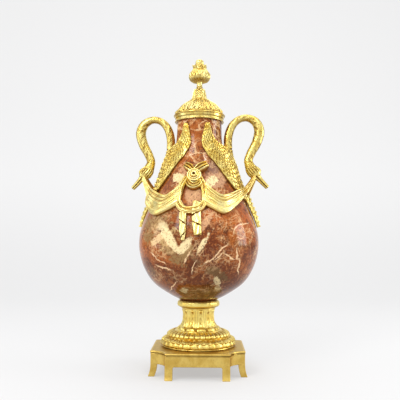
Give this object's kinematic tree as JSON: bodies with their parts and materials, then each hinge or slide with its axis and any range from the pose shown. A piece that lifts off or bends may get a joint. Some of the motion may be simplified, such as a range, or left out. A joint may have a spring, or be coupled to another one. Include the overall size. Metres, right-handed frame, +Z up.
{
  "type": "mantel urn",
  "caption": "Covered pear-shaped marble urn in gilt bronze mounts, with swan handles that hold a draped festoon in their bills, on a round foot and a square footed plinth; the lid lifts off.",
  "frame": {"origin": "on the ground under the middle of the plinth", "axes": "+Z up, front with the rosette and the ribbon ends towards -Y, one swan towards +X and one towards -X"},
  "size_m": [0.2226, 0.1953, 0.4982],
  "materials": {
    "marble": "polished brownish red marble with white and pink veins",
    "satin_gilt": "satin fire gilding",
    "bright_gilt": "chased fire gilding, bright on the high parts"
  },
  "bodies": {
    "root": {"plinth": "satin_gilt", "socle": "bright_gilt", "body": "marble", "collar": "bright_gilt", "lid": "bright_gilt", "finial": "bright_gilt", "swan_right": "bright_gilt", "swan_left": "bright_gilt", "drapery_front": "bright_gilt", "drapery_back": "bright_gilt"}
  },
  "joints": []
}
